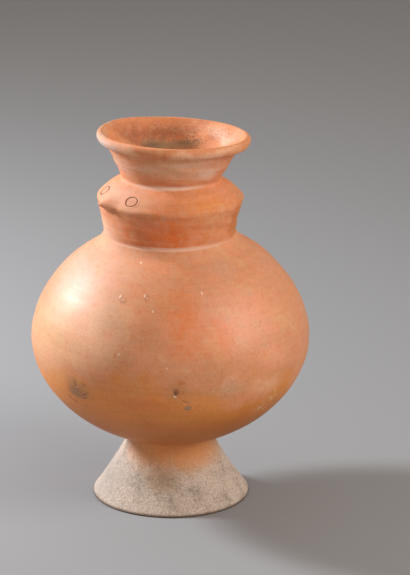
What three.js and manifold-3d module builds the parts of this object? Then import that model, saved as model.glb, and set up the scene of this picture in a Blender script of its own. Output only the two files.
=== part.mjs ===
import * as THREE from "three";
import { mergeVertices } from "three/addons/utils/BufferGeometryUtils.js";
import Module from "manifold-3d";

// A footed globular vase of burnished earthenware with a small bird's face on its collar.
// Millimetres, +Z up. It stands on z = 0, its axis is the Z axis and the face looks along -Y.
// The pieces are those that a potter forms one by one and lutes together with slip: a hollow foot,
// a round-bottomed bowl, a domed shoulder, two bands of collar, a flared neck, a rim coil, the beak,
// and the rolls of soft clay pressed into three of the joints.

const wasm = await Module();
wasm.setup();

const at = (r, z) => new THREE.Vector2(r, z);

// Driving dimensions. A point is a radius and a height.
const HEIGHT = 360; // at the middle of the mouth
const WALL = 6.5;
const LUTE_GAP = 0.3; // the film of slip between two pieces
const SIDES = 48; // facets round every turned piece

const FOOT_RADIUS = 77;
const FOOT_EDGE = 2.4; // rounding of the foot's lower outer edge
const FOOT_TREAD = 5.5; // width of the flat ring that the vase stands on
const FOOT_TOP_RADIUS = 40;
const FOOT_WAIST = at(48.2, 37.5); // draws the foot's outline in to its trumpet curve

const GLOBE_RADIUS = 134;
const GLOBE_MIDDLE = 160.8; // height of the widest ring
const GLOBE_RISE = 111.5; // from the widest ring up to the pole that the dome would have
const GLOBE_DROP = 105.2; // from the widest ring down to the lower pole
const GLOBE_POWER = 1.89; // 2 is an ellipse, less comes to a blunt point at the belly
const BELLY_SEAM = 167;
const BELLY_BEVEL = 5; // how much higher the seam's inner edge is than its outer one

const COLLAR_RADIUS = 61.8;
const RIDGE = at(69.8, 298.2); // the collar's widest ring
const RIDGE_SEAM = 294.5;
const RIDGE_SEAM_BEVEL = 2.5;
const THROAT = at(46.4, 317.2); // corner between the collar and the neck
const THROAT_BEVEL = 3.4;

const LIP_FOOT = at(63.2, 349); // where the rim coil's underside meets the neck
const LIP_EQUATOR = at(72.6, 355);
const LIP_CREST = at(69.2, HEIGHT);
const MOUTH_EDGE = at(67.5, 359.2);
const TONGUE_TIP = at(64.2, 353.6); // top of the neck's thinned edge inside the coil
const TONGUE_THICKNESS = 1.8;

// The collar, neck and rim lean back from the face, and more so the higher they are
const LEAN_FROM = 258;
const LEAN_SHIFT = 4.4; // how far the middle of the mouth has moved back
const LEAN_DROP = { x: -0.018, y: 0.055 }; // fall of the mouth's plane for each millimetre across

const EYE_ANGLE = THREE.MathUtils.degToRad(22.2); // each side of the beak
const EYE_HEIGHT = 306.2;
const EYE = { halfWidth: 6, halfHeight: 5.3, groove: 1, depth: 0.9 };

const BEAK = { height: 299, halfWidth: 17, halfHeight: 10, length: 11, rise: 2, heel: 2.6, curve: 2.1 };

// Point of the globe's skin, or of the surface `inset` inside it, at an angle above the belly
function globePoint(angle, inset) {
  const reach = GLOBE_RADIUS - inset;
  const climb = (angle > 0 ? GLOBE_RISE : GLOBE_DROP) - inset;
  const power = 2 / GLOBE_POWER;
  const height = Math.sign(angle) * climb * Math.abs(Math.sin(angle)) ** power;
  return at(reach * Math.cos(angle) ** power, GLOBE_MIDDLE + height);
}

function globeAngleAtRadius(r, inset, half) {
  return half * Math.acos((r / (GLOBE_RADIUS - inset)) ** (GLOBE_POWER / 2));
}

function globeAngleAtHeight(z, inset) {
  const rise = z - GLOBE_MIDDLE;
  const climb = (rise > 0 ? GLOBE_RISE : GLOBE_DROP) - inset;
  return Math.sign(rise) * Math.asin((Math.abs(rise) / climb) ** (GLOBE_POWER / 2));
}

function globeArc(from, to, inset, steps) {
  return Array.from({ length: steps + 1 }, (_, i) => globePoint(from + ((to - from) * i) / steps, inset));
}

// Heights of the skin under the bowl and over the dome at a radius
const underBowl = (r) => globePoint(globeAngleAtRadius(r, 0, -1), 0).y;
const overDome = (r) => globePoint(globeAngleAtRadius(r, 0, 1), 0).y;

function bend(from, via, to, steps) {
  return new THREE.QuadraticBezierCurve(from, via, to).getPoints(steps);
}

// Radius of an outline at a height, between the two points that span it
function radiusAt(points, z) {
  const upper = points.findIndex((p, i) => i > 0 && (z - points[i - 1].y) * (z - p.y) <= 0);
  const [a, b] = [points[upper - 1], points[upper]];
  return THREE.MathUtils.mapLinear(z, a.y, b.y, a.x, b.x);
}

// Turns an outline, given upwards on its outer side, about the Z axis. It ends on the axis or is closed.
function turn(points) {
  const outline = points.filter((p, i) => i === 0 || p.distanceTo(points[i - 1]) > 0.01);
  if (outline[0].x > 0) outline.push(outline[0].clone());
  return new THREE.LatheGeometry(outline, SIDES).rotateX(Math.PI / 2);
}

function toSolid(geometry) {
  const merged = mergeVertices(geometry.clone().deleteAttribute("normal").deleteAttribute("uv"));
  const vertProperties = new Float32Array(merged.attributes.position.array);
  const triVerts = new Uint32Array(merged.index.array);
  return new wasm.Manifold(new wasm.Mesh({ numProp: 3, vertProperties, triVerts }));
}

function toGeometry(solid) {
  const mesh = solid.getMesh();
  const geometry = new THREE.BufferGeometry();
  geometry.setAttribute("position", new THREE.BufferAttribute(mesh.vertProperties, 3));
  return geometry.setIndex(new THREE.BufferAttribute(mesh.triVerts, 1));
}

function cut(geometry, ...tools) {
  return toGeometry(tools.reduce((left, tool) => left.subtract(toSolid(tool)), toSolid(geometry)));
}

// Moves each ring back from the face and tips it, by its height
function lean(geometry) {
  const position = geometry.attributes.position;
  for (let i = 0; i < position.count; i++) {
    const [x, y, z] = [position.getX(i), position.getY(i), position.getZ(i)];
    const share = Math.max(0, z - LEAN_FROM) / (HEIGHT - LEAN_FROM);
    position.setY(i, y + LEAN_SHIFT * share ** 2);
    position.setZ(i, z - LEAN_DROP.x * share ** 2 * x - LEAN_DROP.y * share * y);
  }
  geometry.computeVertexNormals();
  return geometry;
}

const footBore = bend(
  at(FOOT_TOP_RADIUS - WALL, underBowl(FOOT_TOP_RADIUS - WALL) - LUTE_GAP),
  at(FOOT_WAIST.x - WALL, FOOT_WAIST.y),
  at(FOOT_RADIUS - FOOT_EDGE / 2 - FOOT_TREAD, 0),
  5,
);

// Hollow trumpet foot, its top cut to the curve of the bowl that sits on it
function pedestalFoot() {
  const tread = at(FOOT_RADIUS - FOOT_EDGE / 2, 0);
  const edge = at(FOOT_RADIUS - FOOT_EDGE / 2, FOOT_EDGE);
  const top = at(FOOT_TOP_RADIUS, underBowl(FOOT_TOP_RADIUS) - LUTE_GAP);
  return turn([...bend(tread, at(FOOT_RADIUS, 0), edge, 2), ...bend(edge, FOOT_WAIST, top, 7), ...footBore]);
}

// Roll of clay pressed into the corner under the bowl, inside the foot
function footLutingCoil() {
  const leg = 6;
  const lip = 0.6; // thickness of the roll's two feathered edges
  const corner = at(footBore[0].x - LUTE_GAP, footBore[0].y - 2 * LUTE_GAP);
  const inner = at(corner.x - leg, underBowl(corner.x - leg) - LUTE_GAP);
  const low = at(radiusAt(footBore, corner.y - leg) - LUTE_GAP, corner.y - leg);
  const hollow = at(corner.x - leg / 4, corner.y - leg / 3);
  return turn([low, corner, inner, ...bend(at(inner.x, inner.y - lip), hollow, at(low.x - lip, low.y), 3)]);
}

// Round-bottomed lower half of the globe, bevelled at the belly
function baseBowl() {
  const rim = globeAngleAtHeight(BELLY_SEAM - BELLY_BEVEL / 2, 0);
  const innerRim = globeAngleAtHeight(BELLY_SEAM + BELLY_BEVEL / 2, WALL);
  const skin = globeArc(-Math.PI / 2, rim, 0, 11);
  const inside = globeArc(innerRim, -Math.PI / 2, WALL, 8);
  skin[0].x = 0;
  inside[inside.length - 1].x = 0;
  return turn([...skin, ...inside]);
}

// Domed upper half of the globe, from the belly bevel to the opening under the collar
function shoulderDome() {
  const rim = globeAngleAtHeight(BELLY_SEAM - BELLY_BEVEL / 2 + LUTE_GAP, 0);
  const innerRim = globeAngleAtHeight(BELLY_SEAM + BELLY_BEVEL / 2 + LUTE_GAP, WALL);
  const opening = COLLAR_RADIUS - WALL;
  return turn([
    ...globeArc(rim, globeAngleAtRadius(opening, 0, 1), 0, 8),
    ...globeArc(globeAngleAtRadius(opening, WALL, 1), innerRim, WALL, 6),
  ]);
}

const collarFoot = (r) => at(r, overDome(r) + LUTE_GAP);
const ridgeSeamEdge = at(RIDGE.x - 0.6, RIDGE_SEAM);
const ridgeSeamInside = at(ridgeSeamEdge.x - WALL, RIDGE_SEAM + RIDGE_SEAM_BEVEL);
const collarFlare = at(COLLAR_RADIUS + 2.8, 278);

const collarWallSkin = bend(collarFoot(COLLAR_RADIUS), collarFlare, ridgeSeamEdge, 4);

const collarShoulder = at(RIDGE.x - 3.4, RIDGE.y + 5); // where the ridge's rounding ends
const collarTopSkin = [
  ...bend(at(ridgeSeamEdge.x, RIDGE_SEAM + LUTE_GAP), at(RIDGE.x + 1, RIDGE.y + 1.2), collarShoulder, 3),
  ...bend(collarShoulder, at(RIDGE.x - 8.8, RIDGE.y + 11), THROAT, 4),
];

const collarRadiusAt = (z) => radiusAt([...collarWallSkin, ...collarTopSkin], z);

// Lower band of the collar, standing on the dome and widening to the ridge
function collarWall() {
  const foot = collarFoot(COLLAR_RADIUS - WALL);
  const inside = bend(ridgeSeamInside, at(collarFlare.x - WALL, collarFlare.y), foot, 3);
  return turn([...collarWallSkin, ...inside]);
}

// Upper band of the collar, closing in from the ridge to the throat
function collarTop() {
  const throat = at(THROAT.x - WALL, THROAT.y - THROAT_BEVEL);
  const seam = at(ridgeSeamInside.x, ridgeSeamInside.y + LUTE_GAP);
  return turn([...collarTopSkin, ...bend(throat, at(seam.x - 2, seam.y + 8), seam, 4)]);
}

// Flared neck, with a thinned tongue that the rim coil is pressed over
function neckFunnel() {
  const throat = at(THROAT.x - WALL, THROAT.y - THROAT_BEVEL + LUTE_GAP);
  const tongueInside = at(TONGUE_TIP.x - TONGUE_THICKNESS, TONGUE_TIP.y);
  return turn([
    ...bend(at(THROAT.x, THROAT.y + LUTE_GAP), at(54, 332.5), LIP_FOOT, 4),
    TONGUE_TIP,
    ...bend(tongueInside, at(45, 336), throat, 5),
  ]);
}

// Rolled rim, wrapped over the neck's tongue
function rimCoil() {
  const overTongue = TONGUE_TIP.y + LUTE_GAP;
  const inside = at(TONGUE_TIP.x - TONGUE_THICKNESS, overTongue);
  return turn([
    ...bend(at(LIP_FOOT.x + LUTE_GAP, LIP_FOOT.y), at(LIP_EQUATOR.x - 1.4, LIP_FOOT.y - 0.4), LIP_EQUATOR, 4),
    ...bend(LIP_EQUATOR, at(LIP_EQUATOR.x + 0.5, HEIGHT - 0.2), LIP_CREST, 3),
    ...bend(LIP_CREST, at(MOUTH_EDGE.x + 0.4, HEIGHT), MOUTH_EDGE, 1),
    ...bend(MOUTH_EDGE, at(MOUTH_EDGE.x - 2.1, MOUTH_EDGE.y - 2.6), inside, 2),
    at(TONGUE_TIP.x + LUTE_GAP, overTongue),
  ]);
}

// Roll of clay smoothed into an outside corner. The first and last points of `base` are its corner and
// its toe, all on the surface below it, `top` is on the wall beside it, its face curves towards `hollow`,
// and both its feathered edges are `lip` thick.
function outsideCoil(base, hollow, top) {
  const lip = 0.5;
  const toe = base[base.length - 1];
  return turn([...base, ...bend(at(toe.x, toe.y + lip), hollow, at(top.x + lip, top.y), 4), top]);
}

// Roll in the corner between the dome and the collar, drawn out over the dome so that it flares
function collarLutingCoil() {
  const reach = 11;
  const climb = 6;
  const beside = (z) => at(radiusAt(collarWallSkin, z) + LUTE_GAP, z);
  const corner = beside(collarFoot(COLLAR_RADIUS).y + LUTE_GAP);
  const base = [0.3, 0.65, 1].map((share) => collarFoot(COLLAR_RADIUS + reach * share));
  return outsideCoil([corner, ...base], at(corner.x + 4.4, corner.y - 2.4), beside(corner.y + climb));
}

// Roll in the corner between the collar and the neck
function neckLutingCoil() {
  const leg = 2.8;
  const skinByRadius = collarTopSkin.map((p) => at(p.y, p.x));
  const toe = at(THROAT.x + leg, radiusAt(skinByRadius, THROAT.x + leg) + LUTE_GAP);
  const corner = at(THROAT.x + 2 * LUTE_GAP, THROAT.y + 2 * LUTE_GAP);
  return outsideCoil([corner, toe], at(corner.x + 0.8, corner.y + 0.6), at(corner.x + 1.9, corner.y + leg));
}

// One eye: an oval ring pressed into the collar with the end of a cane
function eyeRing(side) {
  const angle = side * EYE_ANGLE;
  const slope = (collarRadiusAt(EYE_HEIGHT + 1) - collarRadiusAt(EYE_HEIGHT - 1)) / 2;
  const outward = new THREE.Vector3(Math.sin(angle), -Math.cos(angle), 0);
  const across = new THREE.Vector3(Math.cos(angle), Math.sin(angle), 0);
  const upward = new THREE.Vector3(0, 0, 1).addScaledVector(outward, slope).normalize();
  const normal = new THREE.Vector3().crossVectors(across, upward);
  const oval = (path, grow) =>
    path.absellipse(0, 0, EYE.halfWidth + grow, EYE.halfHeight + grow, 0, 2 * Math.PI);
  const ring = oval(new THREE.Shape(), EYE.groove / 2);
  ring.holes.push(oval(new THREE.Path(), -EYE.groove / 2));
  const tool = new THREE.ExtrudeGeometry(ring, { depth: WALL, bevelEnabled: false, curveSegments: 14 });
  const place = new THREE.Matrix4().makeBasis(across, upward, normal);
  place.setPosition(outward.multiplyScalar(collarRadiusAt(EYE_HEIGHT)).setZ(EYE_HEIGHT));
  return tool.translate(0, 0, -EYE.depth).applyMatrix4(place);
}

// A closed oval pad on the collar about the beak's middle. `proud(share)` is how far its face stands
// off the collar's skin at a share of the way out to its edge, `sunk` is how deep its back lies, and
// `upturn` is how much the face climbs for each millimetre that it stands off.
function beakPad({ grow, proud, sunk, upturn }) {
  const spokes = 28;
  const rings = 6;
  const positions = [];
  const index = [];
  const addVertex = (share, turnAngle, isFace) => {
    const across = share * (BEAK.halfWidth + grow) * Math.cos(turnAngle);
    const z = BEAK.height + share * (BEAK.halfHeight + grow) * Math.sin(turnAngle);
    const lift = isFace ? proud(share) : -sunk;
    const climb = isFace ? upturn * lift : 0;
    const r = collarRadiusAt(z) + lift;
    const angle = across / RIDGE.x;
    positions.push(r * Math.sin(angle), -r * Math.cos(angle), z + climb);
    return positions.length / 3 - 1;
  };
  const addRing = (share, isFace) =>
    Array.from({ length: spokes }, (_, k) => addVertex(share, (2 * Math.PI * k) / spokes, isFace));
  const join = (inner, outer) => {
    for (let k = 0; k < spokes; k++) {
      const next = (k + 1) % spokes;
      index.push(inner[k], outer[k], outer[next], inner[k], outer[next], inner[next]);
    }
  };
  const cap = (centre, ring, isFace) => {
    for (let k = 0; k < spokes; k++) {
      const next = (k + 1) % spokes;
      index.push(centre, ring[isFace ? k : next], ring[isFace ? next : k]);
    }
  };
  const shares = Array.from({ length: rings }, (_, i) => (i + 1) / rings);
  const faceRings = shares.map((share) => addRing(share, true));
  const backRings = shares.map((share) => addRing(share, false)).reverse();
  const loops = [...faceRings, ...backRings];
  cap(addVertex(0, 0, true), faceRings[0], true);
  loops.slice(1).forEach((loop, i) => join(loops[i], loop));
  cap(addVertex(0, 0, false), backRings[rings - 1], false);
  const geometry = new THREE.BufferGeometry();
  geometry.setAttribute("position", new THREE.Float32BufferAttribute(positions, 3));
  return geometry.setIndex(index);
}

// Pinched beak with its heel let into the collar
function beak() {
  const proud = (share) => BEAK.length * (1 - share) ** BEAK.curve;
  return beakPad({ grow: 0, proud, sunk: BEAK.heel, upturn: BEAK.rise / BEAK.length });
}

// The pocket that the beak's heel is luted into, a film of slip larger all round
function beakPocket() {
  return beakPad({ grow: LUTE_GAP, proud: () => WALL, sunk: BEAK.heel + LUTE_GAP, upturn: 0 });
}

const burnishedClay = new THREE.MeshStandardMaterial({ color: 0xc4703f, roughness: 0.55, metalness: 0 });
const collarClay = new THREE.MeshStandardMaterial({ color: 0xbd6236, roughness: 0.6, metalness: 0 });
const bareClay = new THREE.MeshStandardMaterial({ color: 0xc3ab93, roughness: 0.95, metalness: 0 });

function piece(name, geometry, material) {
  const mesh = new THREE.Mesh(geometry, material);
  mesh.name = name;
  return mesh;
}

const vase = new THREE.Group();
vase.add(
  piece("pedestal_foot", pedestalFoot(), bareClay),
  piece("foot_luting_coil", footLutingCoil(), bareClay),
  piece("base_bowl", baseBowl(), burnishedClay),
  piece("shoulder_dome", shoulderDome(), burnishedClay),
  piece("collar_luting_coil", lean(collarLutingCoil()), collarClay),
  piece("collar_wall", lean(cut(collarWall(), beakPocket())), collarClay),
  piece("collar_top", lean(cut(collarTop(), beakPocket(), eyeRing(-1), eyeRing(1))), collarClay),
  piece("beak", lean(beak()), collarClay),
  piece("neck_luting_coil", lean(neckLutingCoil()), collarClay),
  piece("neck_funnel", lean(neckFunnel()), collarClay),
  piece("rim_coil", lean(rimCoil()), collarClay),
);

export default vase;
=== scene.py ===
"""Footed globular vase of burnished earthenware, with a small bird's face on its collar.

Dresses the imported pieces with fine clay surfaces, and adds a plain stage and a camera. Metres, +Z up,
the vase's axis on Z and the face towards -Y. An azimuth is an angle round the axis, measured from the
face towards +X.
"""

import math
from typing import NamedTuple

import bpy
import numpy as np
from bpy.props import FloatProperty, FloatVectorProperty, PointerProperty
from bpy.types import Operator, Panel, PropertyGroup
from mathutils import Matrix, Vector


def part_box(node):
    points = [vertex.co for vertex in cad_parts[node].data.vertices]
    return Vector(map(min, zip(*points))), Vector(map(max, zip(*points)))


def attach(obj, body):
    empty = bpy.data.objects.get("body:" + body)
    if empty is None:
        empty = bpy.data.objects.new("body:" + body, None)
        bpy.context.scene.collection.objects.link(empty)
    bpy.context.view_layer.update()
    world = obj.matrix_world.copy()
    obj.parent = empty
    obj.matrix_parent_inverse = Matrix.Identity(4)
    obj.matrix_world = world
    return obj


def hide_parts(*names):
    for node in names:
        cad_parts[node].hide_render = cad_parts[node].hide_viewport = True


bl_info = {
    "name": "Footed Globular Vase",
    "version": (1, 0, 0),
    "blender": (4, 5, 0),
    "location": "View3D > Sidebar > Vase",
    "description": "Hand-built earthenware vase on a trumpet foot, piece by piece",
    "category": "Add Mesh",
}

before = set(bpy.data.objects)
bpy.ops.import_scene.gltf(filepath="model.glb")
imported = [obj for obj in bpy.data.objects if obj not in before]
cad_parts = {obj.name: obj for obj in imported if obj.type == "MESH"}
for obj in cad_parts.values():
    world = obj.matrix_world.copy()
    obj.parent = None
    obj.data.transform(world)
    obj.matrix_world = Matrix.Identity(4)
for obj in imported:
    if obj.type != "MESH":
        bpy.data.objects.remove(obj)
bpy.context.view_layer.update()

MM = 0.001
TAU = 2 * math.pi

# The photograph's frame in pixels, for the camera's lens
IMAGE_HEIGHT = 575
FOCAL_PIXELS = 3287


def length(name, description, default):
    """Property that holds a length, in metres."""
    return FloatProperty(name=name, description=description, default=default, unit="LENGTH")


def point(name, description, default):
    """Property that holds two lengths, such as a radius and a height."""
    return FloatVectorProperty(name=name, description=description, default=default, size=2, unit="LENGTH")


def tone(name, description, default):
    """Property that holds a colour."""
    return FloatVectorProperty(name=name, description=description, default=default, size=3, subtype="COLOR")


class FootSizes(PropertyGroup):
    """Sizes of the hollow trumpet foot. A point is a radius and a height"""

    radius: length("Radius", "Radius of the foot just above the ground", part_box("pedestal_foot")[1][0])
    edge: length("Edge Rounding", "Height over which the lower outer edge is rounded", 0.0024)
    tread: length("Tread", "Width of the flat ring that the vase stands on", 0.0055)
    top_radius: length("Top Radius", "Radius of the foot where it meets the bowl", 0.040)
    waist: point("Waist", "Point that draws the foot's outline in to its trumpet curve", (0.0482, 0.0375))


class GlobeSizes(PropertyGroup):
    """Sizes of the globe, which the bowl and the dome share"""

    radius: length("Radius", "Radius at the belly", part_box("shoulder_dome")[1][0] - 0.0001)
    middle: length("Middle", "Height of the widest ring", 0.1608)
    rise: length("Rise", "From the widest ring up to the pole that the dome would have", 0.1115)
    drop: length("Drop", "From the widest ring down to the lower pole", 0.1052)
    power: FloatProperty(
        name="Power",
        description="Shape of the outline: 2 is an ellipse, less is more pointed at the belly",
        default=1.89,
    )
    wall: length("Wall", "Thickness of the clay, on every piece", 0.0065)
    seam: length("Seam", "Height at which the dome is joined to the bowl", 0.167)
    seam_bevel: length("Seam Bevel", "How much higher the seam is inside than outside", 0.005)


class CollarSizes(PropertyGroup):
    """Sizes of the two collar bands"""

    radius: length("Radius", "Radius where the collar stands on the dome", 0.0618)
    flare: point("Flare", "Point that draws the lower band's outline out to the ridge", (0.0646, 0.278))
    ridge: point("Ridge", "The collar's widest ring", (0.0698, 0.2982))
    seam: length("Seam", "Height at which the two bands are joined", 0.2945)
    seam_bevel: length("Seam Bevel", "How much higher the seam is inside than outside", 0.0025)
    throat: point("Throat", "Corner between the collar and the neck", (0.0464, 0.3172))
    throat_bevel: length("Throat Bevel", "How much lower the throat's joint is inside than outside", 0.0034)


class NeckSizes(PropertyGroup):
    """Sizes of the flared neck and its rolled rim"""

    height: length("Height", "Height of the vase at the middle of its mouth", 0.360)
    flare: point("Flare", "Point that draws the neck's outline out to the rim", (0.054, 0.3325))
    lip_foot: point("Lip Foot", "Where the rim's underside meets the neck", (0.0632, 0.349))
    lip_equator: point("Lip Equator", "The rim's widest ring", (0.0726, 0.355))
    lip_crest: length("Lip Crest", "Radius of the rim's highest ring", 0.0692)
    mouth_edge: point("Mouth Edge", "Edge from which the rim turns down into the mouth", (0.0675, 0.3592))
    tongue: point("Tongue", "Top outer edge of the thinned neck inside the rim", (0.0642, 0.3536))
    tongue_wall: length("Tongue Wall", "Thickness of the neck where the rim is wrapped over it", 0.0018)


class FaceSizes(PropertyGroup):
    """Sizes of the bird's face"""

    eye_azimuth: FloatProperty(
        name="Eye Azimuth",
        description="Angle of each eye to the side of the beak",
        default=math.radians(22.2),
        subtype="ANGLE",
    )
    eye_height: length("Eye Height", "Height of the eyes' middle", 0.3062)
    eye_half: point("Eye Half Sizes", "Half the eye's width and height along the clay", (0.006, 0.0053))
    eye_groove: length("Eye Groove", "Width of the pressed ring", 0.001)
    eye_depth: length("Eye Depth", "Depth of the pressed ring", 0.0009)
    beak_height: length("Beak Height", "Height of the beak's root", 0.299)
    beak_half: point("Beak Half Sizes", "Half the width and height of the beak's root", (0.017, 0.010))
    beak_length: length("Beak Length", "How far the beak stands off the collar", 0.011)
    beak_rise: length("Beak Rise", "How far the beak's tip is above its root", 0.002)
    beak_curve: FloatProperty(
        name="Beak Curve",
        description="How hollow the beak's sides are: 1 is a straight cone",
        default=2.1,
    )


class ClayColours(PropertyGroup):
    """Colours of the clay and its slips"""

    slip: tone("Slip", "Burnished slip on the globe", (0.65, 0.27, 0.135))
    collar_slip: tone("Collar Slip", "Redder slip on the collar and neck", (0.66, 0.25, 0.11))
    bare: tone("Bare Clay", "Unslipped clay of the foot", (0.52, 0.43, 0.365))


class StageLook(PropertyGroup):
    """The floor's colour and where the camera stands"""

    floor: tone("Floor", "Colour of the plain floor", (0.27, 0.285, 0.31))
    camera_place: FloatVectorProperty(
        name="Camera Place",
        description="Where the camera stands",
        default=(2.5386, -1.5986, 1.172),
        size=3,
        subtype="XYZ",
        unit="LENGTH",
    )
    camera_turn: FloatVectorProperty(
        name="Camera Turn",
        description="Camera's rotation",
        default=(math.radians(72.17), 0.0, math.radians(57.165)),
        size=3,
        subtype="EULER",
    )


class VaseSettings(PropertyGroup):
    """Everything about the vase that a user may change"""

    foot: PointerProperty(type=FootSizes)
    globe: PointerProperty(type=GlobeSizes)
    collar: PointerProperty(type=CollarSizes)
    neck: PointerProperty(type=NeckSizes)
    face: PointerProperty(type=FaceSizes)
    clay: PointerProperty(type=ClayColours)
    stage: PointerProperty(type=StageLook)


# The collar, neck and rim lean back from the face, and more so the higher they are
LEAN_FROM = 0.258
LEAN_SHIFT = 0.0044
LEAN_DROP_X = -0.018
LEAN_DROP_Y = 0.055


def lean(points, height):
    """The lean: with share going from 0 at LEAN_FROM to 1 at the mouth, a point moves back by the shift
    times share squared, and sinks by its x and y times the drops, times share squared and share."""
    x, y, z = points[..., 0], points[..., 1], points[..., 2]
    share = np.maximum(z - LEAN_FROM, 0) / (height - LEAN_FROM)
    sunk = LEAN_DROP_X * share**2 * x + LEAN_DROP_Y * share * y
    return np.stack([x, y + LEAN_SHIFT * share**2, z - sunk], axis=-1)


class Swell(NamedTuple):
    """A place where the potter's hand left the clay fuller (or, below 0, leaner): an azimuth and how far
    it reaches, in degrees, a height and how far it reaches, and the moves out and up, in millimetres."""

    azimuth: float
    wide: float
    height: float
    tall: float
    out: float
    up: float = 0.0


SWELLS = (
    Swell(-77, 34, 358, 9, 0.6, 1.5),  # the rim's back left
    Swell(148, 40, 351, 5, 0.9, -0.5),  # under the rim on the right
    Swell(148, 50, 280, 16, -1.2),  # the collar's right side
    Swell(142, 45, 246, 16, 1.4, 0.8),  # the dome's right shoulder
    Swell(-32, 45, 32, 16, 1.4),  # the foot's left flank
    Swell(88, 45, 6, 14, 0.9),  # the foot's front edge
)


def uneven(points):
    """Unevenness of the hand: each swell moves the clay out and up by its amounts, times a bell curve of
    the azimuth and the height measured from its middle."""
    x, y, z = points[..., 0], points[..., 1], points[..., 2]
    radius = np.hypot(x, y)
    azimuth = np.arctan2(x, -y)
    out = np.zeros_like(z)
    up = np.zeros_like(z)
    for swell in SWELLS:
        turn = np.degrees((azimuth - math.radians(swell.azimuth) + np.pi) % TAU - np.pi)
        rise = (z / MM - swell.height) / swell.tall
        bell = np.exp(-((turn / swell.wide) ** 2) - rise**2) * MM
        out += swell.out * bell
        up += swell.up * bell
    grown = 1 + out / np.maximum(radius, MM)
    return np.stack([x * grown, y * grown, z + up], axis=-1)


def bend(start, via, end, count=90):
    """Quadratic curve: for t from 0 to 1, its three points weigh (1 - t) squared, 2t(1 - t) and t squared."""
    t = np.linspace(0, 1, count)[:, None]
    return (1 - t) ** 2 * np.array(start) + 2 * t * (1 - t) * np.array(via) + t**2 * np.array(end)


def straight(*points):
    """Straight lines from point to point."""
    return np.array(points, dtype=float)


def evenly(points, spacing):
    """The same line, with points at equal steps of about the spacing."""
    along = np.concatenate([[0], np.cumsum(np.hypot(*np.diff(points, axis=0).T))])
    places = np.linspace(0, along[-1], max(2, round(along[-1] / spacing) + 1))
    return np.column_stack([np.interp(places, along, points[:, axis]) for axis in (0, 1)])


BELLY_BLUNT = 0.1  # softens the crease that the outline's power would leave at the belly


def globe_arc(globe, inset=0.0, low=None, high=None):
    """Outline of the globe, or of the surface inset inside it, upwards. With c and s the cosine and sine
    of an angle above the belly and q = 2 / power, the radius is the reach times c to the q, and the height
    the climb times s, times the root of s squared + blunt squared to the q - 1. It is cut at low and high."""
    angle = np.linspace(-np.pi / 2, np.pi / 2, 3001)
    q = 2 / globe.power
    s = np.sin(angle)
    soft = ((s**2 + BELLY_BLUNT**2) / (1 + BELLY_BLUNT**2)) ** ((q - 1) / 2)
    climb = np.where(s > 0, globe.rise, globe.drop) - inset
    radius = (globe.radius - inset) * np.clip(np.cos(angle), 0, None) ** q
    height = globe.middle + climb * s * soft
    radius[[0, -1]] = 0
    low = height[0] if low is None else low
    high = height[-1] if high is None else high
    inner = (height > low) & (height < high)
    heights = np.concatenate([[low], height[inner], [high]])
    return np.column_stack([np.interp(heights, height, radius), heights])


def globe_height(globe, radius, inset=0.0, under=False):
    """Height of the globe's skin over a radius, on the dome or under the bowl."""
    arc = globe_arc(globe, inset)
    half = arc[:, 1] < globe.middle if under else arc[:, 1] > globe.middle
    arc = arc[half] if under else arc[half][::-1]
    return float(np.interp(radius, arc[:, 0], arc[:, 1]))


def globe_seam(globe):
    """Heights of the seam between the bowl and the dome, outside and inside."""
    return globe.seam - globe.seam_bevel / 2, globe.seam + globe.seam_bevel / 2


def foot_outlines(vase):
    """The foot's outer outline from the ground up: a rounded edge, then the trumpet curve."""
    foot = vase.foot
    tread = (foot.radius - foot.edge / 2, 0)
    edge = (foot.radius - foot.edge / 2, foot.edge)
    top = (foot.top_radius, globe_height(vase.globe, foot.top_radius, under=True))
    return bend(tread, (foot.radius, 0), edge), bend(edge, foot.waist, top)


def foot_bore(vase):
    """The foot's inner outline, from under the bowl down to the tread."""
    foot = vase.foot
    wall = vase.globe.wall
    top = (foot.top_radius - wall, globe_height(vase.globe, foot.top_radius - wall, under=True))
    bottom = (foot.radius - foot.edge / 2 - foot.tread, 0)
    return bend(top, (foot.waist[0] - wall, foot.waist[1]), bottom)


def collar_foot(vase, radius):
    """Point at a radius where the collar stands on the dome."""
    return (radius, globe_height(vase.globe, radius))


def collar_seam(vase):
    """Outer and inner points of the seam between the two collar bands."""
    collar = vase.collar
    outer = (collar.ridge[0] - 0.6 * MM, collar.seam)
    return outer, (outer[0] - vase.globe.wall, collar.seam + collar.seam_bevel)


def collar_wall_skin(vase):
    """Outline of the lower band, from the dome up to the seam."""
    collar = vase.collar
    return bend(collar_foot(vase, collar.radius), collar.flare, collar_seam(vase)[0])


def collar_shoulder(vase):
    """Hollow outline from above the collar's ridge in to the throat."""
    ridge_r, ridge_z = vase.collar.ridge
    shoulder = (ridge_r - 3.4 * MM, ridge_z + 5 * MM)
    hollow = (ridge_r - 8.8 * MM, ridge_z + 11 * MM)
    return bend(shoulder, hollow, vase.collar.throat)


def collar_top_skin(vase):
    """Outline of the upper band: the rounded ridge, then the shoulder. A curve rounds the ridge's corner
    off, over all but a straight share of the way to it on either side."""
    straight_share = 0.4
    ridge_r, ridge_z = vase.collar.ridge
    slope = collar_shoulder(vase)
    corner = np.array([ridge_r + 0.6 * MM, ridge_z + 0.9 * MM])
    seam, shoulder = np.array(collar_seam(vase)[0]), slope[0]
    low = seam + straight_share * (corner - seam)
    high = shoulder + straight_share * (corner - shoulder)
    return np.vstack([seam, bend(low, corner, high), slope])


def neck_skin(vase):
    """Outer outline of the neck, from the throat up to the rim."""
    neck = vase.neck
    return bend(vase.collar.throat, neck.flare, neck.lip_foot)


def throat_inside(vase):
    """Inner point of the joint between the collar and the neck."""
    collar = vase.collar
    return (collar.throat[0] - vase.globe.wall, collar.throat[1] - collar.throat_bevel)


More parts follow.
